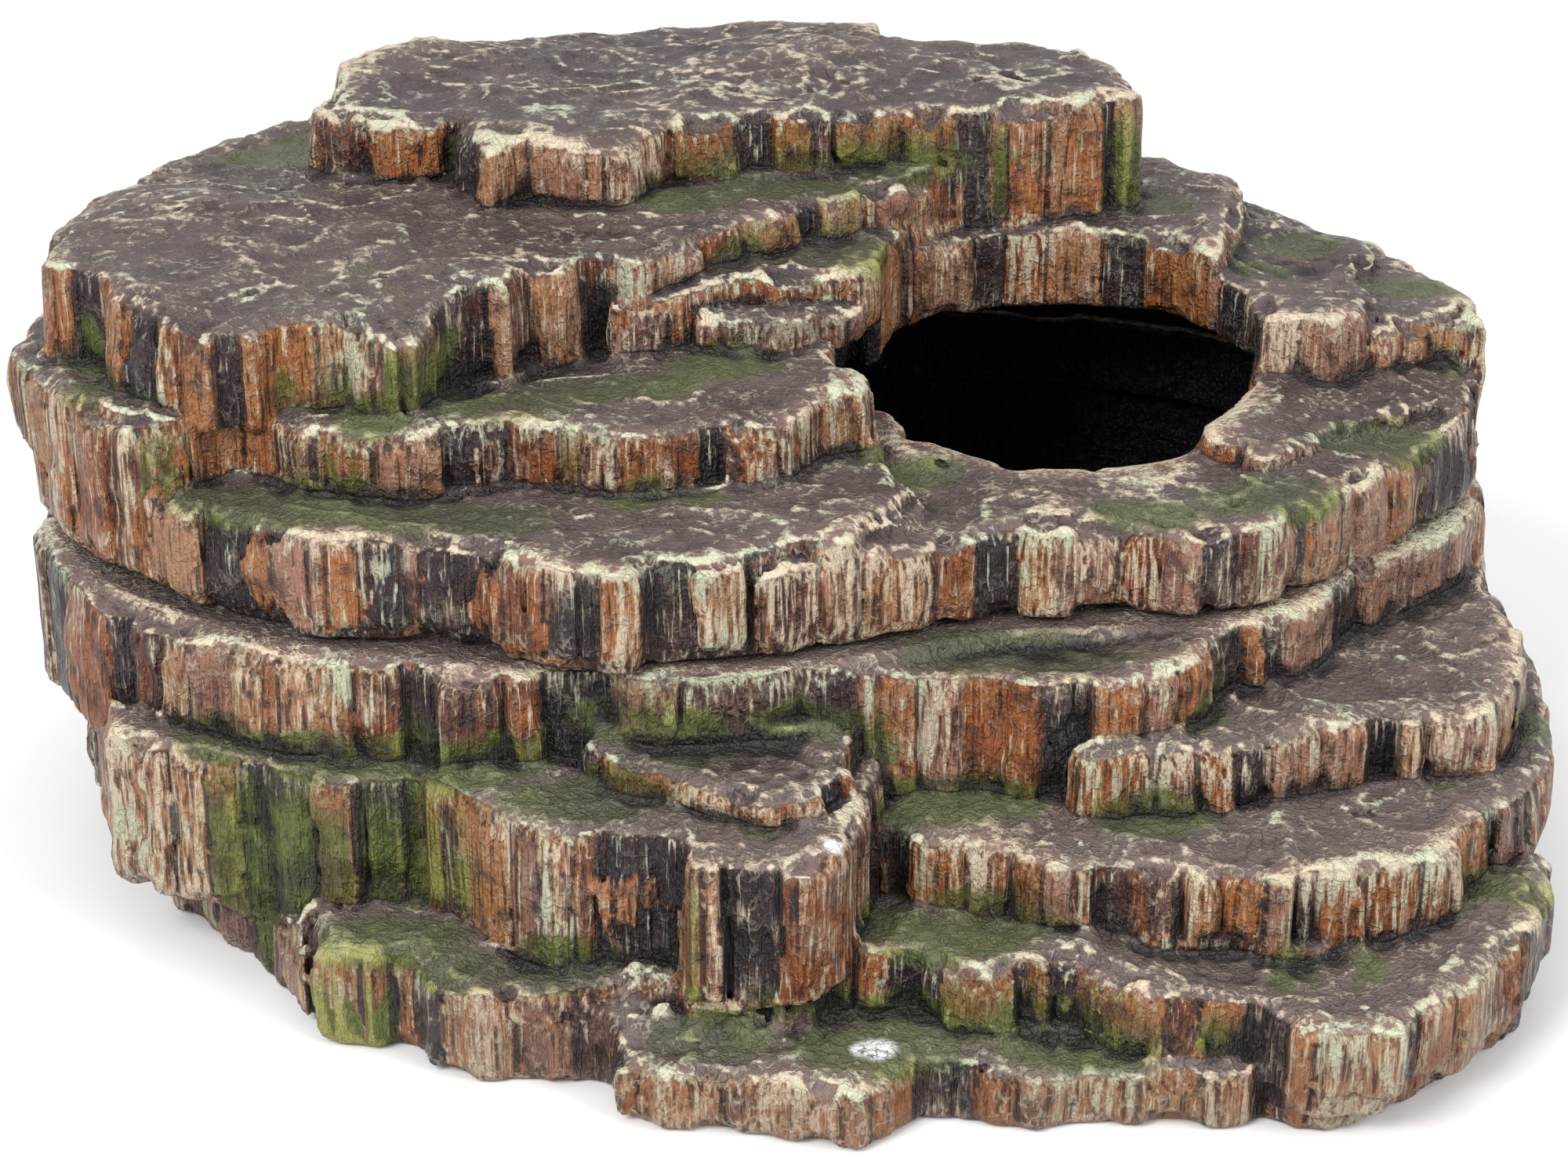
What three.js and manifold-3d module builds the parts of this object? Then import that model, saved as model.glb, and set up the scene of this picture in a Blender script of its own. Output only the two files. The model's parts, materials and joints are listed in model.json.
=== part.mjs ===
// Hollow stepped-rock cave in two castings: a tray-like base and a lift-off lid with a round entrance.
// Millimetres, +Z up. X runs along the long side, the terraces step down towards -Y.
// Origin: middle of the footprint, on the face the base rests on.
import * as THREE from "three";
import Module from "manifold-3d";

const wasm = await Module();
wasm.setup();

// ---- driving dimensions -------------------------------------------------------------------------
const CENTRE = [1.25, 3]; // middle of the footprint in the outlines' own coordinates
const FLOOR = 6; // thickness of the base's floor
const SEAM_Z = 57; // where the two castings meet
const SEAM_GAP = 0.3; // air between them, left by the rough cast faces
const LIP_HEIGHT = 4; // raised lip on the base that keeps the lid in place
const LIP_WALL = 3.5;
const LIP_PLAY = 1; // clearance round the lip
const EDGE = 1.3; // worn edge along the top of every slab
const BITE = 1.5; // how far each slab sinks into the one below, so that they fuse
const HOLE = { x: 49.5, y: 17, radius: 31, sides: 32, bottom: 60, top: 104 };

// top heights of the terraces, from the ground up
const Z = {
  ledge: 11.5,
  toe: 18,
  step2: 22,
  step3: 34.5,
  slabLeft: 41,
  slabMid: 42,
  step4: 46,
  shelf: 48.5,
  lidRight: 73,
  lidLeft: 76,
  holeRight: 77.5,
  mid: 86.5,
  blockLow: 91,
  right2: 85,
  right1: 89,
  backWall: 92.5,
  blockHigh: 96,
  upper: 103.5,
  plateau: 114,
};

// ---- outlines, anticlockwise seen from above ----------------------------------------------------
const BACK_MID = [
  [124, 24], [122, 44], [118, 50], [113, 67], [104, 72], [99, 84], [86, 92], [80, 91], [66, 101],
  [46, 104], [40, 102], [14, 107], [4, 105], [-18, 107], [-34, 103], [-50, 105], [-62, 100],
  [-72, 99], [-86, 88], [-94, 86], [-104, 71], [-112, 62], [-114, 46], [-120, 30],
];
const BACK_TOP = [
  [121, 32], [119, 48], [116, 54], [113, 68], [101, 80], [92, 87], [76, 91], [68, 97], [50, 99],
  [36, 103], [22, 102], [6, 105], [-12, 104], [-26, 106], [-44, 102], [-58, 102], [-70, 95],
  [-84, 90], [-92, 82], [-106, 68], [-112, 52], [-119, 44], [-122, 28],
];

const FOOT = [
  [-109, 12], [-105, -16], [-98, -34], [-91, -38], [-82, -52], [-73, -65], [-71, -72], [-56, -74],
  [-51, -79], [-41, -82], [-26, -83], [-14, -74], [4, -70], [30, -78], [70, -86], [72, -93],
  [76, -95.5], [81, -96.5], [88, -94.5], [97, -86.5], [104, -80.5], [110.5, -74], [116, -67.5],
  [120, -55], [124, -36], [127, -10], [126, 14],
  [122, 36], [122, 48], [112, 66], [106, 80], [88, 88], [80, 96], [56, 100], [44, 106], [18, 104],
  [4, 107], [-22, 104], [-30, 106], [-56, 100], [-66, 100], [-82, 88], [-90, 84], [-98, 70],
  [-107, 56], [-107, 44], [-111, 28],
];
const LEDGE = [
  [-24, -94], [-15, -96], [-4, -97], [3, -99], [13, -101], [18, -97], [22, -94], [31, -95],
  [38, -96.5], [48, -94], [63, -95], [72, -95], [75, -88], [60, -70], [-10, -66], [-26, -78],
];
const CORNER = [
  [74, -97], [82, -98], [90.5, -97], [98, -90.5], [104, -85], [110, -79], [115, -72], [112, -56],
  [76, -66],
];
const TOE_MID = [
  [-27, -80], [-24, -86], [-12, -88], [0, -89], [8, -87], [10, -78], [4, -66], [-24, -66],
];
const TOE_LEFT = [
  [-71, -72], [-57, -74], [-54, -77], [-53, -80], [-45, -82.5], [-33, -82], [-24, -81],
  [-14, -74], [-20, -58], [-60, -50], [-74, -58],
];
const STEP2 = [
  [5, -80], [22, -80], [25, -84.5], [32, -86], [38, -84], [47, -85], [51, -88.5], [59, -91],
  [70, -91], [73, -97], [77, -99], [82, -98.5], [93, -100], [98, -94], [104, -89], [108, -83],
  [114, -78], [119, -66], [123, -50], [110, -30], [60, -50], [12, -58], [2, -70],
];
const STEP3 = [
  [12, -65], [20, -64], [27, -68], [33, -69], [38, -72], [49, -74], [59, -77], [70, -76],
  [77, -79], [84, -78], [91, -76], [98, -73], [105, -69], [107, -62], [112, -57], [118, -50],
  [124, -41], [128, -24], [128.5, -4], [127, 18], [110, 30], [60, -20], [10, -40], [6, -60],
];
const SLAB_LEFT = [
  [-104, -37], [-106, -44], [-97, -48], [-88, -52], [-80, -54], [-70, -58], [-64, -60],
  [-54.5, -59], [-54, -40], [-80, -24], [-108, -22],
];
const SLAB_MID = [
  [-53.5, -60.5], [-48, -65], [-39, -72], [-33, -75.5], [-24, -77], [-15, -79], [-12, -86],
  [-4, -88.5], [7, -87.5], [12, -82], [15, -70], [20, -50], [-20, -40], [-53, -42],
];
const SHELF = [
  [-30, -60], [-22, -66], [-12, -70], [0, -76], [8, -75], [13, -67], [14, -50], [-20, -48],
];
const STEP4 = [
  [46, -61], [56, -60], [73, -59.5], [79, -55], [86, -52], [91, -50], [98, -49], [107, -47],
  [113, -45], [119, -33], [122.5, -18], [123, 0], [122, 20], [100, 20], [70, -20], [46, -44],
];
const FLANK = [
  [-118, 8], [-115, -10], [-111, -24], [-105, -36], [-90, -42], [-70, -46], [-40, -56],
  [0, -60], [40, -60], [80, -56], [108, -50], [120, -34], [125, -14], [124, 12], ...BACK_MID,
];
const RIM = [
  [-124, 10], [-121, -8], [-117, -18], [-110, -27], [-100, -36], [-88, -44], [-79, -49],
  [-66, -53], [-54, -54], [-51, -59.5], [-43, -58], [-29, -57], [-16, -59], [4, -57], [20, -54],
  [31, -53], [42, -57], [52, -57], [62, -54], [69, -46], [74, -40], [81, -37], [92, -24],
  [101, -13], [111, -3], [118, 5], [121.5, 15], ...BACK_TOP,
];

const LID_LOW = [
  [-120.5, 3], [-115.5, -8], [-111.5, -13], [-105, -24], [-97, -31], [-86, -38], [-79, -42],
  [-70, -46.5], [-57, -48.5], [-43, -52], [-31, -57], [-22, -59], [-12, -56], [3, -53], [14, -49],
  [26, -44], [38, -40], [50, -39], [60, -38], [68, -40], [73, -37], [80, -33], [92, -23],
  [101, -12], [111, -2], [118, 6], [121.5, 18], [120, 30], [118, 44], [113, 57], [111, 69],
  [97, 80], [89, 89], [70, 94], [62, 99], [38, 101], [30, 104], [6, 103], [-8, 106], [-30, 103],
  [-44, 104], [-60, 97], [-74, 95], [-84, 86], [-98, 79], [-107, 67], [-115, 54], [-116, 38],
  [-122, 24],
];
const LID_LEFT = [
  [-121, 0], [-113, -15], [-107, -24.5], [-97, -33], [-86, -39.5], [-78, -43.5], [-69, -48],
  [-58, -49.5], [-51, -51], [-45, -53], [-40, -55], [-35, -58], [-28, -62], [-21, -61],
  [-17, -57], [-10, -58], [-3, -54], [2, -50], [12, -48], [15, -42], [21, -38], [24, -30],
  [19, -16], [10, -6], [-40, 20], [-110, 30],
];
const HOLE_RIGHT = [
  [70, -12], [78, -21], [84, -16], [91, -6], [98, 0], [105, 2], [112, 5], [117, 9], [121, 16],
  [122, 28], [118, 44], [100, 60], [70, 50],
];
const MID = [
  [-126, 10], [-125, 4], [-120, -6], [-113, -15], [-108, -23], [-102, -29.5], [-93, -31.5],
  [-89, -25.5], [-84, -23.5], [-78, -25], [-73, -30.5], [-62, -32.5], [-55, -32], [-50, -31.5],
  [-42, -29], [-34, -29], [-22, -32], [-11, -30], [-3, -29], [3, -26], [9, -17], [14, -12], [18, -14],
  [16, -7], [12, 0], [10, 14], [24, 50], [80, 60], [96, 58], [98, 70], [80, 88], [60, 97],
  [40, 98], [30, 102], [10, 101], [-2, 104], [-24, 102], [-38, 104], [-56, 97], [-66, 98],
  [-80, 86], [-92, 80], [-100, 66], [-110, 60], [-114, 46], [-121, 38], [-124, 26],
];
const BLOCK_LOW = [
  [-14, 4], [-5, 2], [3, 3], [8, 6.5], [12, 7.5], [16, 13], [14, 30], [-16, 26],
];
const BLOCK_HIGH = [
  [-26, 1], [-14, 3], [-11.5, 6], [-4, 11], [3, 10], [10, 12.5], [17, 16], [24, 26], [24, 46],
  [-10, 40], [-30, 14],
];
const RIGHT1 = [
  [70, 22], [74, 17], [80, 13.5], [87, 13], [93, 11], [99, 15], [103, 26], [102, 35],
  [105, 48], [105, 57], [99, 61], [91, 65], [86, 74], [60, 80], [66, 45],
];
const RIGHT2 = [
  [98, 17], [102, 14.5], [106, 19], [112, 23], [117, 22.5], [121.5, 21], [121, 30], [119, 39],
  [115, 45], [114, 55], [107, 62], [98, 72], [84, 80], [80, 60], [96, 40],
];
const BACK_WALL = [
  [16, 18], [21, 21], [25, 27], [28, 38], [36, 44], [46, 46], [54, 44.5], [57, 40], [63, 38],
  [67, 29], [69, 23], [72, 21], [76, 33], [82, 51], [84.5, 62], [85, 75], [80, 78], [74, 85],
  [67, 90], [52, 98], [30, 101], [0, 98], [-10, 50],
];
const UPPER = [
  [-120, 14], [-118, 0], [-110, -3], [-105, -13], [-100, -24], [-93, -25.5], [-88, -28.5],
  [-80, -27], [-77, -22.5], [-66, -23.5], [-61, -27], [-55, -27.5], [-51.5, -20], [-48, -11], [-41, -11],
  [-39, -4], [-31, 0], [-29, 6], [-23, 3], [-17, 8], [-10, 15], [2, 24], [15, 33], [22, 38],
  [29, 45], [38, 50], [48, 66], [52, 86], [44, 95], [28, 98], [20, 103], [5, 105.5], [-18, 106],
  [-40, 104], [-58, 98], [-74, 90], [-83, 82], [-96, 70], [-106, 57], [-109, 51], [-114, 44],
  [-119, 26],
];
const PLATEAU = [
  [-80, 49], [-73, 41], [-64, 38], [-55, 41], [-52, 31], [-47, 24], [-43, 31], [-32, 27],
  [-24, 27], [-18, 38], [-3, 41], [9, 44], [15, 47], [35, 48], [49, 51.5], [58, 52.5], [65, 58],
  [64, 68], [60, 80], [56, 87], [40, 93], [29, 90], [22, 92], [20, 99], [8, 103.5], [-16, 104],
  [-35, 101], [-49, 98], [-53, 91], [-62, 90], [-72, 83], [-78, 72], [-77, 60],
];

// hollows
const HOLLOW_LOW = [
  [-97, 15], [-94, -14], [-86, -30], [-74, -46], [-62, -58], [-45, -66], [-20, -70], [10, -70],
  [45, -73], [75, -76], [95, -72], [108, -58], [115, -35], [118, -5], [116, 30], [106, 60],
  [85, 80], [50, 91], [0, 95], [-45, 92], [-75, 80], [-92, 58], [-98, 35],
];
const HOLLOW_MID = [
  [-107, 12], [-104, -14], [-97, -30], [-84, -41], [-62, -48], [-44, -55], [-32, -62], [-10, -66],
  [8, -57], [40, -61], [70, -66], [95, -62], [108, -50], [116, -28], [118, 0], [116, 30],
  [106, 61], [85, 81], [50, 92], [0, 96], [-45, 93], [-77, 81], [-97, 60], [-106, 36],
];
const HOLLOW_TOP = [
  [-114, 12], [-110, -9], [-102, -23], [-88, -34], [-68, -43], [-42, -48], [0, -48], [34, -45],
  [58, -45], [66, -36], [78, -25], [90, -11], [102, 2], [112, 16], [115, 32], [109, 55],
  [97, 72], [79, 84], [54, 93], [0, 97], [-45, 94], [-78, 83], [-102, 61], [-113, 38],
];
const THROAT = [
  [-114, 12], [-109, -7], [-100, -23], [-88, -33], [-72, -42], [-50, -46], [-15, -49], [3, -46],
  [18, -40], [38, -33], [66, -32], [78, -24], [90, -11], [104, 4], [113, 18], [113, 34],
  [107, 55], [95, 71], [78, 83], [54, 92], [0, 97], [-45, 95], [-78, 84], [-102, 61], [-113, 38],
];
const LID_HOLLOW = [
  { top: 76.5, outline: [
    [-117, 22], [-113, 2], [-104, -14], [-92, -20], [-60, -25], [-20, -23], [-2, -20], [5, -8],
    [8, 10], [26, 12], [50, 20], [72, 16], [84, 20], [96, 27], [112, 32], [111, 44],
    [102, 60], [82, 76], [58, 88], [20, 95], [-20, 96], [-56, 91], [-82, 78], [-100, 60],
    [-111, 42],
  ] },
  { top: 96, outline: [
    [-112, 20], [-109, 6], [-100, -6], [-92, -18], [-64, -18], [-54, -6], [-44, 4], [-30, 14],
    [-14, 22], [6, 37], [22, 48], [38, 60], [46, 74], [42, 85], [20, 92], [0, 97], [-38, 95],
    [-64, 86], [-88, 70], [-101, 54], [-109, 38],
  ] },
  { top: 107, outline: [
    [-71, 54], [-60, 48], [-46, 39], [-22, 45], [8, 53], [38, 58], [54, 64], [52, 78], [38, 84],
    [18, 86], [0, 95], [-30, 93], [-46, 86], [-62, 78], [-70, 68],
  ] },
];

// ---- helpers ------------------------------------------------------------------------------------
// The outline moved inwards by d along each corner's mean normal.
function inset(outline, d) {
  return outline.map(([x, y], i) => {
    const [ax, ay] = outline.at(i - 1), [bx, by] = outline[(i + 1) % outline.length];
    const u = new THREE.Vector2(x - ax, y - ay).normalize();
    const v = new THREE.Vector2(bx - x, by - y).normalize();
    const n = new THREE.Vector2(-u.y - v.y, u.x + v.x).normalize();
    const reach = d / Math.max(0.6, -u.y * n.x + u.x * n.y);
    return [x + n.x * reach, y + n.y * reach];
  });
}

// One closed body through a stack of rings [{outline, z}], all with the same number of corners.
function loft(rings) {
  const n = rings[0].outline.length, index = [];
  const position = rings.flatMap(({ outline, z }) =>
    outline.flatMap(([x, y]) => [x - CENTRE[0], y - CENTRE[1], z]));
  for (let r = 0; r + 1 < rings.length; r++)
    for (let i = 0; i < n; i++) {
      const a = r * n + i, b = r * n + ((i + 1) % n);
      index.push(a, b, b + n, a, b + n, a + n);
    }
  const cap = (ring, base, up) => {
    const flat = ring.outline.map(([x, y]) => new THREE.Vector2(x, y));
    for (const [a, b, c] of THREE.ShapeUtils.triangulateShape(flat, []))
      index.push(...(up ? [a, b, c] : [a, c, b]).map((k) => k + base));
  };
  cap(rings[0], 0, false);
  cap(rings.at(-1), n * (rings.length - 1), true);
  return new wasm.Manifold(new wasm.Mesh({
    numProp: 3,
    vertProperties: new Float32Array(position),
    triVerts: new Uint32Array(index),
  }));
}

// A rock slab from z0 up to z1, its top edge worn back.
const slab = (outline, z0, z1, edge = EDGE) => loft([
  { outline, z: z0 },
  { outline, z: z1 - edge },
  { outline: inset(outline, edge), z: z1 },
]);
const prism = (outline, z0, z1) => loft([{ outline, z: z0 }, { outline, z: z1 }]);
const union = (bodies) => bodies.reduce((a, b) => a.add(b));
const without = (body, cuts) => cuts.reduce((a, b) => a.subtract(b), body);

function mesh(name, solid, material) {
  const made = solid.getMesh();
  const g = new THREE.BufferGeometry()
    .setAttribute("position", new THREE.BufferAttribute(made.vertProperties, 3))
    .setIndex(new THREE.BufferAttribute(made.triVerts, 1));
  const out = new THREE.Mesh(g, material);
  out.name = name;
  return out;
}

// ---- base: closed floor, stepped front, open top with a locating lip ----------------------------
const baseRock = union([
  slab(FOOT, 0, Z.toe - 4),
  slab(FLANK, Z.toe - 5, Z.step3),
  slab(LEDGE, 0, Z.ledge),
  slab(TOE_MID, 0, Z.toe + 1, 6),
  slab(TOE_LEFT, 0, Z.toe),
  slab(CORNER, 4.5, Z.toe - 4),
  slab(STEP2, 9.5, Z.step2),
  slab(STEP3, Z.step2 - BITE, Z.step3),
  slab(SLAB_LEFT, Z.toe - 5, Z.slabLeft),
  slab(SLAB_MID, Z.toe - BITE + 1.5, Z.slabMid),
  slab(STEP4, Z.step3 - BITE, Z.step4),
  slab(SHELF, Z.slabMid - BITE, Z.shelf),
  slab(RIM, Z.step3 - BITE - 2, SEAM_Z, 0.8),
]);
const lip = prism(inset(THROAT, LIP_PLAY), SEAM_Z - BITE, SEAM_Z + LIP_HEIGHT);
const baseHollow = [
  prism(HOLLOW_LOW, FLOOR, 16.5),
  prism(HOLLOW_MID, 16, 28.5),
  prism(HOLLOW_TOP, 28, 46.5),
  prism(inset(THROAT, LIP_PLAY + LIP_WALL), 46, SEAM_Z + LIP_HEIGHT + 1),
];
const base = without(baseRock.add(lip), baseHollow);

// ---- lid: terraces, plateau, round entrance, hollow below ---------------------------------------
const lidFoot = SEAM_Z + SEAM_GAP;
const lidRock = union([
  slab(LID_LOW, lidFoot, Z.lidRight),
  slab(LID_LEFT, lidFoot + 3, Z.lidLeft),
  slab(HOLE_RIGHT, Z.lidRight - BITE, Z.holeRight, 0.8),
  slab(MID, Z.lidRight - BITE, Z.mid),
  slab(RIGHT2, Z.holeRight - BITE, Z.right2),
  slab(RIGHT1, Z.holeRight - BITE, Z.right1),
  slab(BLOCK_LOW, Z.mid - BITE, Z.blockLow, 0.8),
  slab(BLOCK_HIGH, Z.mid - BITE, Z.blockHigh, 0.8),
  slab(BACK_WALL, Z.lidRight - BITE, Z.backWall),
  slab(UPPER, Z.mid - BITE, Z.upper),
  slab(PLATEAU, Z.backWall - BITE, Z.plateau),
]);
const ring = Array.from({ length: HOLE.sides }, (_, i) => {
  const a = (2 * Math.PI * i) / HOLE.sides;
  const r = HOLE.radius + 0.7 * Math.sin(3 * a) + 0.4 * Math.cos(7 * a);
  return [HOLE.x + r * Math.cos(a), HOLE.y + r * Math.sin(a)];
});
let floor = lidFoot - 1;
const lidHollow = [prism(THROAT, floor, 66.5), prism(ring, HOLE.bottom, HOLE.top)];
floor = 66;
for (const { top, outline } of LID_HOLLOW) {
  lidHollow.push(prism(outline, floor, top + 0.25));
  floor = top - 0.25;
}
const lid = without(lidRock, lidHollow);

// ---- materials and group ------------------------------------------------------------------------
const resin = (color) => new THREE.MeshStandardMaterial({ color, roughness: 0.62, metalness: 0 });
const group = new THREE.Group();
group.name = "resin_cave_ornament";
group.add(mesh("base_shell", base, resin(0x7a6a58)), mesh("lid_shell", lid, resin(0x85716a)));
export default group;
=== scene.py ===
"""Painted stepped-rock cave in two castings: each CAD shell is turned into a field of distances,
given its columns, wrinkles, chips and worn edges, and meshed again. Millimetres until the mesh is made."""

import json
import math
from concurrent.futures import ThreadPoolExecutor

import bpy
import numpy as np
import openvdb as vdb
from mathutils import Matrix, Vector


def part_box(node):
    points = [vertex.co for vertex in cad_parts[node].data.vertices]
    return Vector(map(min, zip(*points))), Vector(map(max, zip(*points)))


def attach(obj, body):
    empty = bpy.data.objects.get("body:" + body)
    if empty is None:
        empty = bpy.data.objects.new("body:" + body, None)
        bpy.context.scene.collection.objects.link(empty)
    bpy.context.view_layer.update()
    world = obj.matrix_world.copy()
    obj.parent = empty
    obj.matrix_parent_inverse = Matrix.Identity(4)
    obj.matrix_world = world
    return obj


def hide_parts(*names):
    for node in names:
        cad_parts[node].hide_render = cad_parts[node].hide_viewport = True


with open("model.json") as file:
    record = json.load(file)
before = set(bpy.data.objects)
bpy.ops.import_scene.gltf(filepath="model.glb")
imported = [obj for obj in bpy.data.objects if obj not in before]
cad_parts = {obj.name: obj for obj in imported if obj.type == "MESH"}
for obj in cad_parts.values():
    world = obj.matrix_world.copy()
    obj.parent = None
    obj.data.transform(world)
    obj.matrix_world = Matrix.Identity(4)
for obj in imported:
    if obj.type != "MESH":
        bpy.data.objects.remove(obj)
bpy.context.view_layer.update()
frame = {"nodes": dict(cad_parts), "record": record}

MM = 0.001
FAR = 1e6  # mm, larger than any distance here
VOXEL = 0.75  # mm
BAND = 4.5  # mm of distance kept on each side of the surface
SEED = 41
ENTRANCE = next(np.mean(o["box_m"], axis=0)[:2] / MM
                for o in frame["record"]["physics"]["openings"] if o["name"] == "entrance")

# columns along the front of each terrace, by the terrace's height: the x in mm where the run starts
# and ends, then each column's stain and its width in parts of the run: k black, d dark, n brown,
# r rust, o orange, b buff, p pink, m streaked with cream, g mossy
FRONTS = {
    114.0: (-80, 65, "n2 o1 o3 d2 b3 p3 b2 pm2 r1 rg3 k2 rg2 n1 og3 og3 d2 bg1 o2 b1 o2 k1 bg1"),
    103.5: (-120, 55, "o1 d1 o2 d2 om2 o2 d2 o3 m2 p1 bg2 pg2 d1 k1 b1 n1 b2 d1 k1 pm4 r2 bg3 k1"
            " bg2 om1 p2 om2 b1 d2 o2 om2"),
    96.0: (-25, 10, "o3 p4 pm3"),
    92.5: (15, 70, "d2 om2 b3 d2 om2 b3 d2 o3"),
    91.0: (-15, 10, "m4 pm3"),
    89.0: (70, 100, "k2 n1 pm3 r1 p4"),
    86.5: (-105, 15, "rm2 rg2 kg4 g1 mg2 g2 p4 d3 r3 mg1 pm2 r4 k1 n1 om2 pm2 m1 bm2"),
    85.0: (105, 115, "b1 bm1"),
    76.0: (-110, 25, "n1 o3 b2 d2 o2 p2 pm1 o2 d3 p2 rm2 r2 d3 om3 k3 bm3 k2 nm1 pm2 bm4"),
    73.0: (5, 110, "nm1 pm2 bm4 r2 d2 om2 pm3 rm2 p2 o1 d2 n1 pm2 d1 b2 p3 o2 d1"),
    57.0: (-115, 110, "r2 d1 n2 bm2 p2 bm2 o1 bm4 r2 d2 n4 r2 k3 pg4 n6 d3 m1 o2 pm2 r4 d2 k1 o3"
           " pm2 o2 d2 o1 d1 p3 d2 p4"),
    48.5: (-25, 5, "og2 bm3 m4"),
    46.0: (50, 110, "om3 pm3 om3 d2 pm3 p3 k2 bm2 pm3"),
    42.0: (-55, 10, "og2 og2 bm2 bm2 r1 d3 og2 b1 k2 d1 r3"),
    41.0: (-105, -55, "bm3 bm2 og2 dg4 og3 r1 dg2 k1"),
    34.5: (10, 105, "k1 rg3 om2 bm2 g2 p2 m1 n4 d1 bm2 o2 p2 d2 om3 rm3 m2"),
    22.0: (5, 110, "og2 n2 d2 og4 n1 g1 d1 rg1 og3 n2 g2 d1 k1 o2 bm5 d2 o2 bm2"),
    18.0: (-70, -25, "og3 o2 d2 bm4 bm4 n2"),
    11.5: (-25, 75, "o1 bm4 bm3 bm3 b2 o2 k1 d1 o2 b3 bm3 b3 om2 n2"),
}
MOST_HALF = 9.0  # mm, half of the widest column
FRONT_POWER = 60.0  # mm2, how far from a terrace's front its own columns reach
# each stain's place on the colour ramp, and how many mm its columns stand out
STAINS = {"k": (0.02, -2.1), "d": (0.13, -1.2), "n": (0.27, -0.6), "r": (0.38, -0.1),
          "o": (0.50, 0.2), "b": (0.63, 0.5), "p": (0.75, 0.4), "m": (0.66, 0.3), "g": (0.46, 0.0)}

# where the upper terrace's front corners sag: middle, reach and fall in mm
DROOPS = [((-59, -29, 103.5), 8, 3.8), ((-87, -30, 103.5), 9, 3.0)]
# round casting pits in the rises: middle and radius in mm
PITS = [((-41, -83.5, 15.5), 1.6), ((-31, -85.5, 14), 1.9), ((47.5, -42.5, 70), 1.4), ((79, -98, 8), 1.3)]
# white spots in the paint, the one 42 mm up a chip that shows white resin beneath: middle and half-size in
# mm
WHITE_SPOTS = [((14, -93, 11.5), (3.4, 2.6, 2.5)), ((9, -84.5, 42), (2.6, 1.6, 2.0))]


# ---- small array tools ---------------------------------------------------------------------------
def smoothstep(low, high, v):
    t = np.clip((v - low) / (high - low), 0.0, 1.0)
    return t * t * (3.0 - 2.0 * t)


def box_blur(a, radius, axes):
    """Mean over a box of 2*radius+1 voxels along each of the axes."""
    r = max(1, int(round(radius)))
    for axis in axes:
        pad = [(0, 0)] * a.ndim
        pad[axis] = (r + 1, r)
        s = np.cumsum(np.pad(a, pad, mode="edge"), axis=axis, dtype=np.float32)
        n = a.shape[axis]
        hi = [slice(None)] * a.ndim
        lo = list(hi)
        hi[axis], lo[axis] = slice(2 * r + 1, 2 * r + 1 + n), slice(0, n)
        a = (s[tuple(hi)] - s[tuple(lo)]) / (2 * r + 1)
    return a


def blur(a, radius_mm, axes=(0, 1, 2)):
    """Two box passes, close to a soft round blur."""
    r = radius_mm / VOXEL / 1.5
    return box_blur(box_blur(a, r, axes), r, axes)


def spread(n, h, size, rng_n):
    """Weights that turn a random lattice of rng_n knots, size mm apart, into n smooth samples."""
    t = np.arange(n) * h / size + 0.5
    i = np.floor(t).astype(int)
    f = t - i
    w = np.zeros((n, rng_n), np.float32)
    basis = ((1 - f) ** 3 / 6, (3 * f**3 - 6 * f**2 + 4) / 6,
             (-3 * f**3 + 3 * f**2 + 3 * f + 1) / 6, f**3 / 6)
    for k, b in enumerate(basis):
        w[np.arange(n), np.minimum(i + k, rng_n - 1)] += b
    return w


def noise2(shape, size, rng, stretch=1.0):
    """Smooth random layers, about -1 to 1; shape is (layers, nx, ny)."""
    _, nx, ny = shape
    kx, ky = int(nx * VOXEL / size) + 6, int(ny * VOXEL / (size * stretch)) + 6
    lattice = rng.standard_normal((shape[0], kx, ky)).astype(np.float32)
    a, b = spread(nx, VOXEL, size, kx), spread(ny, VOXEL, size * stretch, ky)
    return np.einsum("xi,lij,yj->lxy", a, lattice, b, optimize=True) * 1.6


def noise3(shape, size, rng, size_z=None):
    """A smooth random volume, about -1 to 1."""
    size_z = size_z or size
    sizes = (size, size, size_z)
    knots = [int(n * VOXEL / s) + 6 for n, s in zip(shape, sizes)]
    v = rng.standard_normal(knots).astype(np.float32)
    for axis, (n, s, k) in enumerate(zip(shape, sizes, knots)):
        v = np.moveaxis(np.tensordot(spread(n, VOXEL, s, k), v, (1, axis)), 0, axis)
    return v * 2.2


def ridged(shape, size, rng, octaves=3):
    """Creases: 1 along the lines where the noise changes sign, 0 far from them."""
    total, weight = 0.0, 0.0
    for o in range(octaves):
        gain = 0.55**o
        total = total + gain * (1 - np.minimum(1, np.abs(noise2(shape, size / 2**o, rng)) * 2.4))
        weight += gain
    return total / weight


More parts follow.
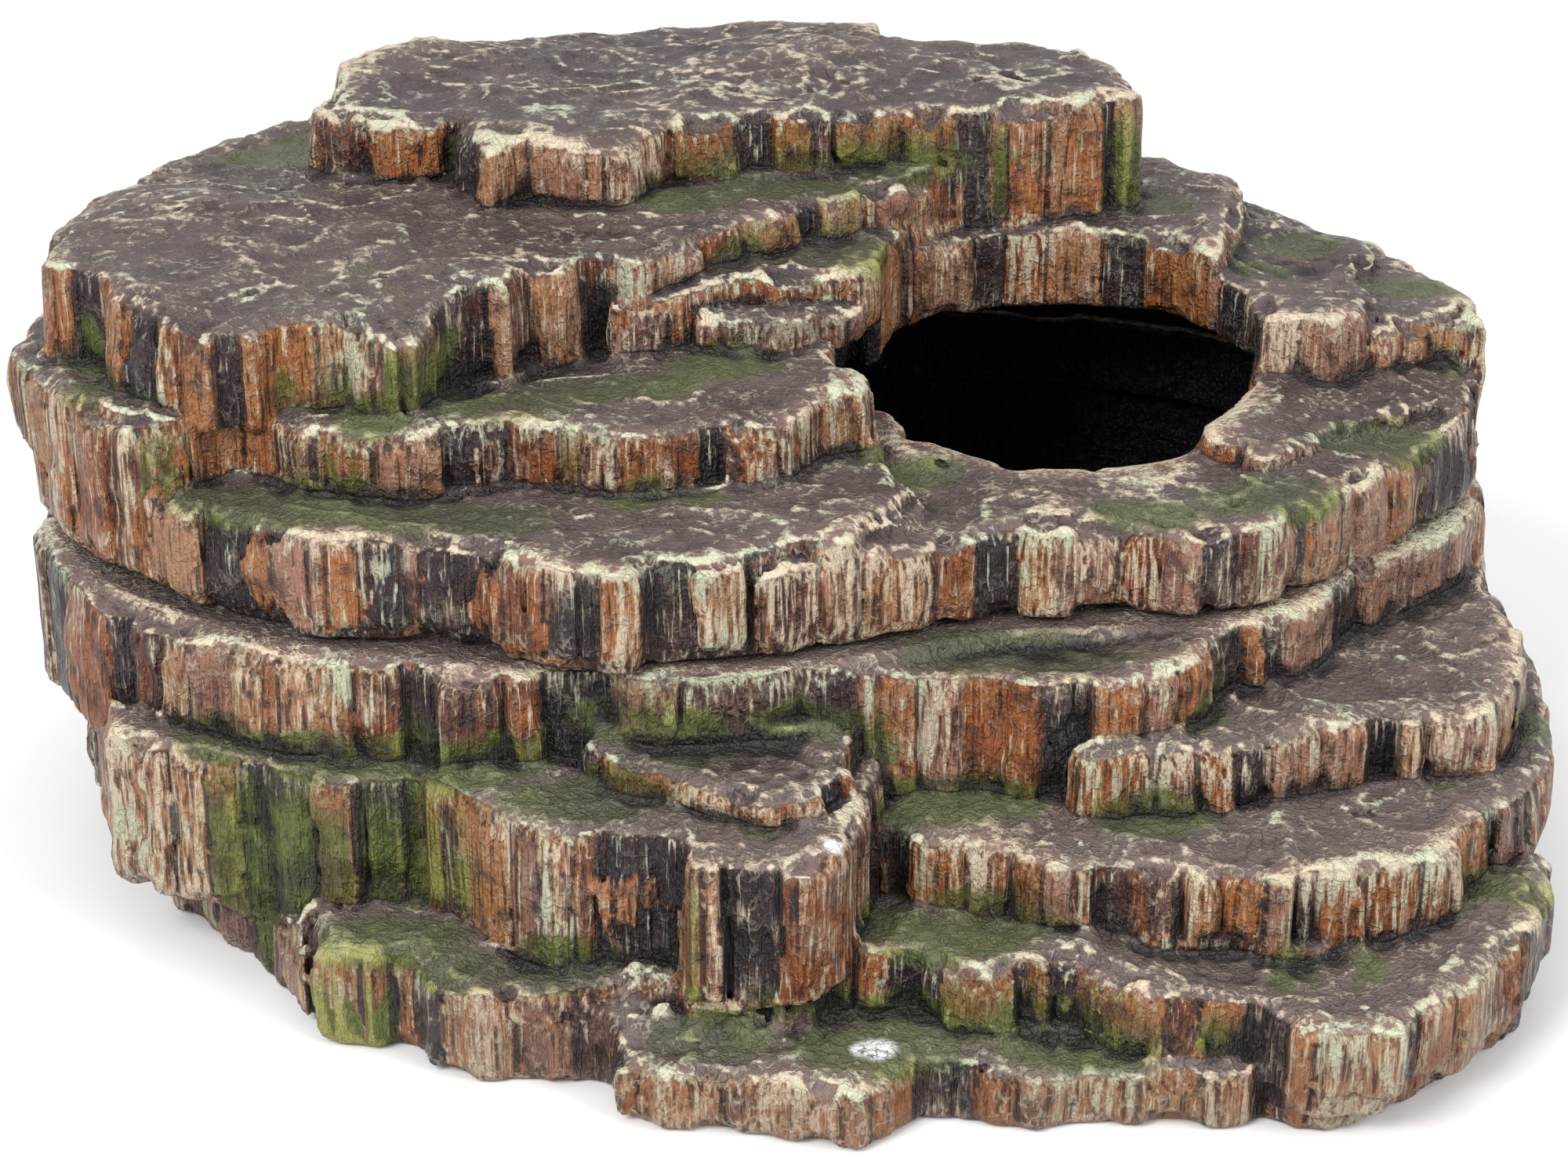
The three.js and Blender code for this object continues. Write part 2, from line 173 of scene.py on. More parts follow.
def columns(shape, spacing, rng):
    """Upright splits of the rock, seen from above: for each layer, a random number per column and
    the distance in mm to the nearest split, with a second number, and the place in the column."""
    layers, nx, ny = shape
    gx, gy = int(nx * VOXEL / spacing) + 5, int(ny * VOXEL / spacing) + 5
    px = (np.arange(gx)[None, :, None] + rng.uniform(-1.95, -1.05, (layers, gx, gy))) * spacing
    py = (np.arange(gy)[None, None, :] + rng.uniform(-1.95, -1.05, (layers, gx, gy))) * spacing
    size = rng.uniform(-0.32, 0.32, (layers, gx, gy)) * spacing
    values = rng.uniform(0, 1, (4, layers, gx, gy)).astype(np.float32)
    x = (np.arange(nx) * VOXEL)[:, None]
    y = (np.arange(ny) * VOXEL)[None, :]
    cx = np.floor(x / spacing).astype(int) + 1
    cy = np.floor(y / spacing).astype(int) + 1
    best = np.full(shape, FAR, np.float32)
    second = best.copy()
    pick = np.zeros((6,) + shape, np.float32)
    for i in range(-1, 3):
        for j in range(-1, 3):
            a, b = np.clip(cx + i, 0, gx - 1), np.clip(cy + j, 0, gy - 1)
            dx, dy = x - px[:, a, b], y - py[:, a, b]
            d = np.sqrt(dx * dx + dy * dy) - size[:, a, b]
            nearer = d < best
            second = np.where(nearer, best, np.minimum(second, d))
            best = np.where(nearer, d, best)
            for k in range(4):
                pick[k] = np.where(nearer, values[k][:, a, b], pick[k])
            pick[4] = np.where(nearer, dx, pick[4])
            pick[5] = np.where(nearer, dy, pick[5])
    return pick, (second - best) / 2


def front_columns(side, levels, place, pick, gap, rng):
    """Puts the columns of FRONTS over the random ones near each terrace's front, and says where
    they are streaked with cream, where mossy, and how far each one's face stands out."""
    x, y, z = place
    extra = np.zeros((3,) + gap.shape, np.float32)
    extra[0] = 0.8 * (pick[3] < 0.22)
    extra[2] = np.nan
    wob = noise2((2,) + gap.shape[1:], 5, rng) * 0.55
    px, py = x[:, None] + wob[0], y[None, :] + wob[1]
    for n, level in enumerate(levels):
        height = round(float(level), 1)
        if height not in FRONTS:
            continue
        first, last, run = FRONTS[height]
        kinds = [word[:-1] for word in run.split()]
        parts = np.cumsum([0] + [int(word[-1]) for word in run.split()])
        ends = first + (last - first) * parts / parts[-1]
        there = side[:, :, int((level - 2.5 - z[0]) / VOXEL)] == n
        front = np.where(there.any(1), y[np.argmax(there, axis=1)], np.nan)
        ends_y = np.interp(ends, x, front)
        best = np.full(gap.shape[1:], FAR, np.float32)
        second, bx, by, sx, sy = (best.copy() for _ in range(5))
        which = np.zeros(best.shape, int)
        for k in range(len(ends) - 1):
            cx, cy = (ends[k] + ends[k + 1]) / 2, (ends_y[k] + ends_y[k + 1]) / 2
            if not np.isfinite(cy):
                continue
            half = min(math.hypot(ends[k + 1] - ends[k], ends_y[k + 1] - ends_y[k]) / 2, MOST_HALF)
            power = (px - cx) ** 2 + (py - cy) ** 2 - half * half
            nearer, next_best = power < best, (power >= best) & (power < second)
            second = np.where(nearer, best, np.where(next_best, power, second))
            sx = np.where(nearer, bx, np.where(next_best, cx, sx))
            sy = np.where(nearer, by, np.where(next_best, cy, sy))
            best = np.where(nearer, power, best)
            bx = np.where(nearer, cx, bx)
            by = np.where(nearer, cy, by)
            which = np.where(nearer, k, which)
        near = best < FRONT_POWER
        chance = rng.uniform(0, 1, len(kinds))
        stain = np.array([STAINS[w[0]] for w in kinds])
        pick[0, n] = np.where(near, stain[which, 0] + 0.05 * (chance[which] - 0.5), pick[0, n])
        extra[2, n] = np.where(near, stain[which, 1] + 0.5 * (chance[which] - 0.5), np.nan)
        pick[4, n] = np.where(near, np.clip(px - bx, -6, 6), pick[4, n])
        pick[5, n] = np.where(near, np.clip(py - by, -6, 6), pick[5, n])
        split = (second - best) / (2 * np.hypot(bx - sx, by - sy) + 1e-3)
        gap[n] = np.where(near, np.clip(split, 0, 20), gap[n])
        for layer, mark in ((0, "m"), (1, "g")):
            marked = np.array([mark in w for w in kinds], np.float32)
            extra[layer, n] = np.where(near, marked[which], extra[layer, n])
    return extra


# ---- one casting ---------------------------------------------------------------------------------
def cad_mesh(node):
    me = frame["nodes"][node].data
    me.calc_loop_triangles()
    v = np.empty(len(me.vertices) * 3, np.float32)
    me.vertices.foreach_get("co", v)
    t = np.empty(len(me.loop_triangles) * 3, np.int32)
    me.loop_triangles.foreach_get("vertices", t)
    return v.reshape(-1, 3) / MM, t.reshape(-1, 3)


def terrace_levels(points, tris, least_area=25.0):
    """Heights of the level faces that look up, lowest first."""
    a, b, c = (points[tris[:, k]] for k in range(3))
    n = np.cross(b - a, c - a)
    area = np.linalg.norm(n, axis=1) / 2
    up = n[:, 2] > 1.98 * area * 0.999
    z = np.round(a[up, 2], 1)
    levels = [v for v in np.unique(z) if area[up][z == v].sum() > least_area]
    return np.array(levels, np.float32)


def distance_field(points, tris):
    lo = np.floor(points.min(0) / VOXEL).astype(int) - 8
    hi = np.ceil(points.max(0) / VOXEL).astype(int) + 8
    grid = vdb.FloatGrid.createLevelSetFromPolygons(
        (points / VOXEL - lo).astype(np.float32), triangles=tris.astype(np.uint32),
        halfWidth=BAND / VOXEL)
    phi = np.empty(hi - lo + 1, np.float32)
    grid.copyToArray(phi)
    return phi * VOXEL, lo * VOXEL


def open_air(solid, from_above):
    """Empty voxels that see out sideways, or straight up."""
    seen = np.zeros(solid.shape, bool)
    looks = [(0, 1), (0, -1), (1, 1), (1, -1)] + ([(2, -1)] if from_above else [])
    for axis, way in looks:
        s = solid if way > 0 else np.flip(solid, axis)
        free = ~np.logical_or.accumulate(s, axis=axis)
        seen |= free if way > 0 else np.flip(free, axis)
    return seen


def tops(filled, z, levels):
    """For every voxel the terrace that its rock leads up to, or for air the one that lies below it."""
    nz = filled.shape[2]
    label = np.full(filled.shape, -1, np.int8)
    nearest = lambda h: int(np.argmin(np.abs(levels - h)))
    at = [nearest(z[k] + 0.5 * VOXEL) for k in range(nz)]
    above = np.full(filled.shape[:2], -1, np.int8)
    for k in range(nz - 1, -1, -1):
        f = filled[:, :, k]
        start = f & ((above < 0) if k == nz - 1 else (~filled[:, :, k + 1]))
        above = np.where(start, at[k], np.where(f, above, -1)).astype(np.int8)
        label[:, :, k] = above
    tread = label.copy()
    below = np.full(filled.shape[:2], -1, np.int8)
    for k in range(nz):
        below = np.where(filled[:, :, k], label[:, :, k], below).astype(np.int8)
        tread[:, :, k] = np.where(filled[:, :, k], tread[:, :, k], below)
    side = label
    for _ in range(int(BAND / VOXEL) + 1):
        grown = side.copy()
        for axis in (0, 1):
            for way in (1, -1):
                grown = np.maximum(grown, np.where(filled, -1, np.roll(side, way, axis)))
        side = np.where(side < 0, grown, side)
    side = np.where(side < 0, tread, side)
    return np.maximum(side, 0), np.maximum(tread, 0)


def sample(volume, at):
    """Trilinear values of a volume at places given in voxels, shape (3, n)."""
    i = np.floor(at).astype(np.int32)
    f = (at - i).astype(np.float32)
    shape = volume.shape
    for k in range(3):
        np.clip(i[k], 0, shape[k] - 2, out=i[k])
    base = (i[0] * shape[1] + i[1]) * shape[2] + i[2]
    flat = volume.reshape(-1)
    out = 0.0
    for dx in (0, 1):
        wx = f[0] if dx else 1 - f[0]
        for dy in (0, 1):
            wy = wx * (f[1] if dy else 1 - f[1])
            for dz in (0, 1):
                out = out + flat[base + (dx * shape[1] + dy) * shape[2] + dz] * (
                    wy * (f[2] if dz else 1 - f[2]))
    return out


def survey(node, from_above):
    """The casting's distances, and which voxels are open air or rock with its hollow filled."""
    points, tris = cad_mesh(node)
    phi, lo = distance_field(points, tris)
    place = [lo[k] + np.arange(phi.shape[k]) * VOXEL for k in range(3)]
    seen = open_air(phi < 0, from_above)
    levels = terrace_levels(points, tris)
    return {"levels": levels, "phi": phi, "lo": lo, "place": place, "seen": seen}


def steps(v):
    """Turns smooth noise into small ledges."""
    i = np.floor(v)
    return i + smoothstep(0.3, 0.7, v - i)


def one_body(verts, quads):
    """Drops the loose crumbs that carving leaves beside the casting."""
    quads = quads.astype(np.int64)
    group = np.arange(len(verts))
    while True:
        least = group[quads].min(axis=1)
        after = group.copy()
        for k in range(4):
            np.minimum.at(after, quads[:, k], least)
        after = after[after]
        if (after == group).all():
            break
        group = after
    names, counts = np.unique(group, return_counts=True)
    kept = group == names[np.argmax(counts)]
    index = np.cumsum(kept) - 1
    return verts[kept], index[quads[kept[quads[:, 0]]]]


def sculpt(casting, seed, calm):
    """The casting's mesh and the masks its paint needs. calm(x, y, z) is 0 where a level face must
    stay as the CAD has it."""
    rng = np.random.default_rng(seed)
    phi, lo, seen, levels = (casting[k] for k in ("phi", "lo", "seen", "levels"))
    x, y, z = casting["place"]
    shape = phi.shape
    filled = ~seen
    side, tread = tops(filled, z, levels)
    outer = blur(seen.astype(np.float32), 3.5)
    inner = blur(((phi > 0) & filled).astype(np.float32), 3.5)
    outer_share = outer / (outer + inner + 1e-4)
    nook = blur(filled.astype(np.float32), 9.0)

    # which way is out, level by level
    soft = blur(filled.astype(np.float32), 4.0, axes=(0, 1))
    gx, gy = -np.gradient(soft, axis=0), -np.gradient(soft, axis=1)
    steep = np.sqrt(gx * gx + gy * gy) + 1e-6
    ox, oy = gx / steep, gy / steep
    steep = smoothstep(0.01, 0.05, steep)

    # plan layers, one per terrace
    layers = (len(levels),) + shape[:2]
    pick, gap = columns(layers, 9.0, rng)
    pick2, gap2 = columns(layers, 3.4, rng)
    pale, leaf, front_face = front_columns(side, levels, casting["place"], pick, gap, rng)
    hue, tone, depth, skew = pick[:4]
    face = np.where(hue < 0.24, -1.9 + 0.8 * depth, -0.6 + 1.6 * depth)
    face = np.where(np.isnan(front_face), face, front_face)
    face = face + (skew - 0.5) * 0.24 * pick[4] + (tone - 0.5) * 0.24 * pick[5]
    face = np.clip(face, -2.3, 1.4).astype(np.float32)
    groove = 1.3 * np.exp(-((gap / 0.6) ** 2)) * smoothstep(0.2, 0.5, skew)
    fine = (pick2[2] - 0.5) * 0.7 - 0.4 * np.exp(-((gap2 / 0.45) ** 2))
    ribs = noise2(layers, 1.8, rng) * 0.25
    ledges = steps(noise2(layers, 13, rng) * 1.7) * 0.55
    wrinkle = (
        noise2(layers, 20, rng) * 0.5 + ledges
        + ridged(layers, 8, rng, 2) * 1.1 + ridged(layers, 3.6, rng, 1) * 0.4 - 1.0)
    drop = (tone - 0.7) * 1.2
    chip = noise2(layers, 3.2, rng) + 0.6 * noise2(layers, 7, rng)

    # warp every voxel near the open surface
    keep = (np.abs(phi) < BAND * 0.98) & (outer_share > 0.03)
    ix, iy, iz = (v.astype(np.int32) for v in np.nonzero(keep))
    still = calm(x[ix], y[iy], z[iz])
    w = outer_share[keep]
    lab = side[keep].astype(np.int32)
    wob = noise3(shape, 14, rng, 9)[keep] * 0.5 / VOXEL
    jx = np.clip(ix + wob, 0, shape[0] - 1).astype(np.int32)
    jy = np.clip(iy - wob, 0, shape[1] - 1).astype(np.int32)
    out = (face + fine + ribs - groove)[lab, jx, jy]
    out += noise3(shape, 6.5, rng, 5)[keep] * 0.22 + noise3(shape, 12, rng, 3.0)[keep] * 0.28
    out += noise3(shape, 2.6, rng, 3.4)[keep] * 0.16
    reach = np.hypot(x[ix] - ENTRANCE[0], y[iy] - ENTRANCE[1])
    low = smoothstep(80, 76, z[iz])
    hole = smoothstep(40, 35, reach)
    out = out * (1 - hole * (0.5 + 0.45 * low)) + hole * (0.2 + 0.4 * low)
    out *= w * steep[keep] * casting["free_sides"](z[iz])
    qx = ix - out * ox[keep] / VOXEL
    qy = iy - out * oy[keep] / VOXEL
    rx = np.clip(np.rint(qx), 0, shape[0] - 1).astype(np.int32)
    ry = np.clip(np.rint(qy), 0, shape[1] - 1).astype(np.int32)
    flat_lab = tread[rx, ry, iz]
    rise = wrinkle[flat_lab, rx, ry] + drop[flat_lab, ix, iy] * smoothstep(0.50, 0.35, nook[keep])
    rise = rise * (1 - 0.85 * low * smoothstep(44, 36, reach)) + 0.5 * low * hole
    for (mx, my, mz), reach_mm, fall in DROOPS:
        d = (x[ix] - mx) ** 2 + (y[iy] - my) ** 2
        rise = rise - fall * np.exp(-d / reach_mm**2) * smoothstep(mz - 7, mz - 4, z[iz])
    qz = iz - rise * w * still / VOXEL
    carved = phi.copy()
    carved[keep] = sample(phi, np.stack([qx, qy, qz]))

    for middle, radius in PITS:
        d2 = sum((at[i] - middle[k]) ** 2 for k, (at, i) in enumerate(((x, ix), (y, iy), (z, iz))))
        carved[keep] = np.maximum(carved[keep], radius - np.sqrt(d2))

    # worn edges with chips
    broad = blur(carved, 4.0) - carved
    wear = np.zeros_like(phi)
    wear[keep] = w * (0.35 + 1.0 * smoothstep(0.2, 1.3, chip[lab, ix, iy]))
    wear *= smoothstep(0.35, 1.1, broad)
    carved += wear * np.clip(broad, 0, 1.5)
    carved += outer_share * np.clip(blur(carved, 1.5) - carved - 0.3, 0, 1.5)
    bend, broad = blur(carved, 1.5) - carved, blur(carved, 4.0) - carved

    grid = vdb.FloatGrid(BAND / VOXEL)
    grid.copyFromArray(np.ascontiguousarray(np.clip(carved, -BAND, BAND) / VOXEL))
    verts, quads = one_body(*grid.convertToQuads(0.0))
    at = verts.T.astype(np.float32)
    slope = np.stack([sample(g, at) for g in np.gradient(blur(carved, 0.9))])
    slope /= np.linalg.norm(slope, axis=0) + 1e-6
    limit = np.array(shape)[:, None] - 1
    n = np.clip(np.rint(at), 0, limit).astype(np.int32)
    lab = side[n[0], n[1], n[2]].astype(np.int32)
    facts = {
        "edge": np.clip(sample(bend, at) / 0.6, -1, 1),
        "broad": np.clip(sample(broad, at) / 1.6, -1, 1),
        "up": np.clip(slope[2], -1, 1),
        "hue": hue[lab, n[0], n[1]],
        "gap": gap[lab, n[0], n[1]],
        "outer": sample(outer_share, at),
        "nook": sample(nook, at),
        "below": levels[lab] - (at[2] * VOXEL + lo[2]),
        "pale": pale[lab, n[0], n[1]],
        "leaf": leaf[lab, n[0], n[1]],
    }
    return verts * VOXEL + lo, quads, facts


def spot(verts, middle, half, outside, inside):
    """1 in the heart of an ellipsoid, 0 past it; outside and inside are shares of its size."""
    return smoothstep(outside, inside, np.sqrt((((verts - np.array(middle)) / np.array(half)) ** 2).sum(1)))


def make_piece(name, node, body, made):
    verts, quads, facts = made
    facts["moss"] = moss_at(verts)
    facts["white_spot"] = np.max([spot(verts, middle, half, 1.2, 0.7) for middle, half in WHITE_SPOTS], axis=0)
    a, b, c, d = (verts[quads[:, k]] for k in range(4))
    volume = (np.einsum("ij,ij->i", a, np.cross(b, c)) + np.einsum("ij,ij->i", a, np.cross(c, d))).sum()
    if volume < 0:
        quads = quads[:, ::-1]
    me = bpy.data.meshes.new(name)
    me.vertices.add(len(verts))
    me.vertices.foreach_set("co", (verts * MM).astype(np.float32).ravel())
    me.loops.add(quads.size)
    me.loops.foreach_set("vertex_index", quads.astype(np.int32).ravel())
    me.polygons.add(len(quads))
    me.polygons.foreach_set("loop_start", np.arange(0, quads.size, 4, dtype=np.int32))
    me.polygons.foreach_set("use_smooth", np.ones(len(quads), bool))
    me.update(calc_edges=True)
    me.validate()
    for key, values in facts.items():
        layer = me.attributes.new(key, "FLOAT", "POINT")
        layer.data.foreach_set("value", np.asarray(values, np.float32))
    obj = bpy.data.objects.new(name, me)
    bpy.context.scene.collection.objects.link(obj)
    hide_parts(node)
    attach(obj, body)
    return obj


# moss washes on each terrace, by its height: how far along its run in FRONTS (0 to 1, or past the
# end), how many mm behind the brink, and the size
WASHES = {
    103.5: [(0.2, 80, "M"), (0.5, 45, "M"), (0.6, 20, "M"), (0.7, 12, "L"), (0.8, 10, "L"),
            (0.9, 8, "L"), (1.0, 8, "M")],
    96.0: [(0.5, 10, "S"), (1.0, 8, "M"), (1.2, 8, "S")],
    92.5: [(0.9, 15, "M")],
    89.0: [(0.7, 40, "M")],
    86.5: [(0.0, 12, "M"), (0.1, 10, "M"), (0.35, 5, "S"), (0.5, 8, "L"), (0.6, 15, "M"),
           (0.7, 20, "M"), (0.8, 25, "M")],
    85.0: [(0.5, 15, "M")],
    76.0: [(0.2, 6, "L"), (0.3, 10, "L"), (0.4, 8, "L"), (0.5, 12, "M")],
    73.0: [(0.15, 30, "M"), (0.5, 6, "M"), (0.7, 8, "L"), (0.9, 8, "L")],
    57.0: [(0.65, 6, "L"), (0.7, 8, "L")],
    48.5: [(0.1, 10, "M"), (0.4, 8, "M")],
    42.0: [(0.1, 6, "M"), (0.4, 8, "L")],
    41.0: [(0.4, 5, "M"), (0.7, 5, "M"), (0.9, 5, "M")],
    34.5: [(0.1, 8, "M"), (0.2, 12, "L"), (0.5, 15, "M"), (1.1, 25, "L"), (1.15, 45, "M")],
    22.0: [(0.1, 8, "M"), (0.2, 8, "L"), (0.3, 12, "M"), (1.05, 12, "L"), (1.1, 25, "M")],
    18.0: [(0.2, 4, "L"), (0.5, 5, "M"), (0.8, 4, "M")],
    11.5: [(0.15, 8, "M"), (0.4, 9, "L"), (0.7, 6, "L"), (0.45, 14, "M")],
}
WASH_STRENGTH = 0.85
WASH_SIZES = {"S": (8, 6, 5), "M": (12, 7, 5), "L": (17, 8, 5)}  # half-sizes in mm


def moss_at(verts):
    x, y, z = verts.T
    total = np.zeros(len(verts), np.float32)
    for height, washes in WASHES.items():
        first, last, _ = FRONTS[height]
        rise = np.abs(z - height + 2.5) < 1
        for share, behind, size in washes:
            along = first + (last - first) * share
            near = rise & (np.abs(x - along) < 1.5)
            if near.any():
                middle = np.array((along, y[near].min() + behind, height))
                wash = spot(verts, middle, WASH_SIZES[size], 1.25, 0.55)
                total = np.maximum(total, WASH_STRENGTH * wash)
    return total


# ---- paint ---------------------------------------------------------------------------------------
class Nodes:
    """Short calls for building a node tree."""

    def __init__(self, name):
        self.mat = bpy.data.materials.new(name)
        self.mat.use_nodes = True
        self.tree = self.mat.node_tree
        self.bsdf = self.tree.nodes["Principled BSDF"]

    def add(self, kind, inputs=None, **props):
        n = self.tree.nodes.new("ShaderNode" + kind)
        for k, v in props.items():
            setattr(n, k, v)
        for k, v in (inputs or {}).items():
            self.put(v, n.inputs[k])
        return n

    def put(self, value, socket):
        if isinstance(value, bpy.types.NodeSocket):
            self.tree.links.new(value, socket)
        elif hasattr(value, "__len__") and len(value) == 3 and socket.type == "RGBA":
            socket.default_value = (*value, 1.0)
        else:
            socket.default_value = value

    def fact(self, name):
        return self.add("Attribute", attribute_name=name).outputs["Fac"]

    def math(self, op, a, b=0.0, c=0.0, clamp=False):
        return self.add("Math", {0: a, 1: b, 2: c}, operation=op, use_clamp=clamp).outputs[0]

    def span(self, v, a, b, low=0.0, high=1.0):
        """v from a..b onto low..high with soft ends."""
        return self.add("MapRange", {"Value": v, "From Min": a, "From Max": b, "To Min": low,
                                     "To Max": high}, interpolation_type="SMOOTHSTEP").outputs[0]

    def mix(self, f, a, b):
        n = self.add("Mix", data_type="RGBA")
        self.put(f, n.inputs[0])
        self.put(a, n.inputs[6])
        self.put(b, n.inputs[7])
        return n.outputs[2]

    def ramp(self, f, stops):
        n = self.add("ValToRGB", {"Fac": f})
        r = n.color_ramp
        while len(r.elements) < len(stops):
            r.elements.new(0.5)
        for e, (p, c) in zip(r.elements, stops):
            e.position = p
            e.color = (*c, 1.0)
        return n.outputs["Color"]

    def noise(self, at, size, detail=3.0, rough=0.55):
        return self.add("TexNoise", {"Vector": at, "Scale": 1.0 / size, "Detail": detail,
                                     "Roughness": rough}).outputs["Fac"]

    def scale(self, at, by):
        return self.add("VectorMath", {0: at, 1: by}, operation="MULTIPLY").outputs[0]


def painted_resin(name):
    m = Nodes(name)
    place = m.scale(m.add("TexCoord").outputs["Object"], (1000, 1000, 1000))
    fibre_at = m.scale(place, (1.0, 1.0, 0.07))
    up, hue = m.fact("up"), m.fact("hue")
    edge, broad, gap = m.fact("edge"), m.fact("broad"), m.fact("gap")
    nook, outer, moss = m.fact("nook"), m.fact("outer"), m.fact("moss")
    below, pale, leaf = m.fact("below"), m.fact("pale"), m.fact("leaf")

    grain = m.noise(place, 1.5, 4, 0.6)
    blotch = m.noise(place, 9, 4, 0.62)
    wide = m.noise(place, 36, 2, 0.5)
    fibre = m.noise(fibre_at, 0.8, 3, 0.6)
    strand = m.noise(fibre_at, 3.2, 2, 0.5)
    rough_grain = m.math("SUBTRACT", grain, 0.5)
    flat = m.span(m.math("MULTIPLY_ADD", rough_grain, 0.3, up), 0.5, 0.72)
    rim = m.span(nook, 0.475, 0.31)  # 1 along the brink of a terrace
    foot = m.span(nook, 0.53, 0.68)  # 1 where a rise meets the terrace below

    level = m.add("SeparateXYZ", {"Vector": place}).outputs["Z"]
    top = m.span(level, 107, 111)  # 1 on the highest terrace
    low = m.span(level, 19, 12)  # 1 on the lowest ledges

    # risers: each column has its own stain, streaked along the grain
    stain = m.math("MULTIPLY_ADD", m.math("SUBTRACT", strand, 0.5), 0.34, hue)
    stain = m.math("MULTIPLY_ADD", m.math("SUBTRACT", fibre, 0.5), 0.20, stain)
    riser = m.ramp(stain, [
        (0.00, (0.012, 0.009, 0.012)), (0.17, (0.030, 0.020, 0.025)), (0.27, (0.090, 0.036, 0.022)),
        (0.38, (0.210, 0.062, 0.017)), (0.50, (0.290, 0.105, 0.030)), (0.62, (0.310, 0.150, 0.066)),
        (0.74, (0.280, 0.140, 0.092)), (0.86, (0.190, 0.088, 0.060)), (0.94, (0.090, 0.048, 0.042)),
        (1.00, (0.028, 0.020, 0.025))])
    riser = m.mix(m.span(blotch, 0.52, 0.68, 0, 0.45), riser, (0.270, 0.175, 0.130))
    stale = m.span(m.noise(place, 4.5, 3, 0.6), 0.50, 0.32, 0, 0.75)
    riser = m.mix(stale, riser, (0.040, 0.018, 0.013))
    riser = m.mix(m.span(fibre, 0.47, 0.34, 0, 0.85), riser, (0.024, 0.012, 0.010))
    drip = m.math("ADD", m.span(below, 5, 0, 0, 0.08), m.span(blotch, 0.42, 0.7, 0, 0.10))
    drip = m.math("MULTIPLY_ADD", pale, m.span(strand, 0.34, 0.6, 0.05, 0.12), drip)
    streak = m.span(m.math("ADD", fibre, drip), 0.59, 0.73, 0, 0.80)
    streak = m.math("MULTIPLY", streak, m.math("MULTIPLY_ADD", low, -0.35, 1.0))
    # painted shade: the rises on the lowest ledges made darker against the key light that falls on them
    riser = m.mix(m.math("MULTIPLY", low, 0.22), riser, (0.050, 0.026, 0.020))
    tint = m.span(m.noise(place, 16), 0.42, 0.62)
    cream = m.mix(tint, (0.62, 0.51, 0.37), (0.55, 0.57, 0.41))
    riser = m.mix(streak, riser, m.mix(tint, (0.54, 0.45, 0.33), (0.44, 0.48, 0.34)))

    # treads: mauve-brown, warmer and paler towards the brink
    tread = m.mix(m.span(wide, 0.35, 0.65), (0.054, 0.037, 0.037), (0.088, 0.065, 0.062))
    tread = m.mix(m.span(blotch, 0.42, 0.64, 0, 0.6), tread, (0.130, 0.088, 0.079))
    tread = m.mix(m.math("MULTIPLY", rim, 0.65), tread, (0.270, 0.150, 0.112))
    # painted shade: the highest terrace made darker against the light from above
    tread = m.mix(m.math("MULTIPLY", top, 0.42), tread, (0.048, 0.035, 0.038))
    tread = m.mix(m.span(level, 84, 40, 0, 0.24), tread, (0.230, 0.180, 0.160))
    tread = m.mix(m.span(edge, -0.05, -0.5, 0, 0.75), tread, (0.030, 0.020, 0.021))
    colour = m.mix(flat, riser, tread)

    # dry-brushed cream on every crest, thick along the brinks
    bent = m.add("VectorMath", {0: place, 1: m.scale(
        m.add("TexNoise", {"Vector": place, "Scale": 0.35, "Detail": 2.0}).outputs["Color"],
        (3.5, 3.5, 3.5))}, operation="ADD").outputs[0]
    crest = m.noise(m.scale(bent, (1, 1, 0.6)), 3.2, 2.5, 0.62)
    crest = m.math("ABSOLUTE", m.math("SUBTRACT", crest, 0.5))
    crest = m.span(crest, 0.055, 0.0)
    veins = m.math("MULTIPLY_ADD", top, -0.055, m.noise(place, 7, 3))
    load = m.math("MULTIPLY_ADD", rim, 0.9, m.span(veins, 0.40, 0.66, 0.0, 0.55))
    lines = m.math("MULTIPLY", crest, load, clamp=True)
    colour = m.mix(m.math("MULTIPLY", lines, m.math("MULTIPLY_ADD", flat, 0.5, 0.3)), colour, cream)
    brink = m.math("MULTIPLY", m.span(below, 3.2, 0.8), m.span(nook, 0.42, 0.30))
    worn = m.math("MULTIPLY", m.math("MAXIMUM", edge, 0.0), m.math("MULTIPLY_ADD", flat, 0.7, 0.3))
    worn = m.math("MULTIPLY_ADD", brink, 0.30, worn)
    worn = m.math("MULTIPLY_ADD", rough_grain, 0.9, worn)
    colour = m.mix(m.span(worn, 0.20, 0.48, 0, 0.92), colour, cream)

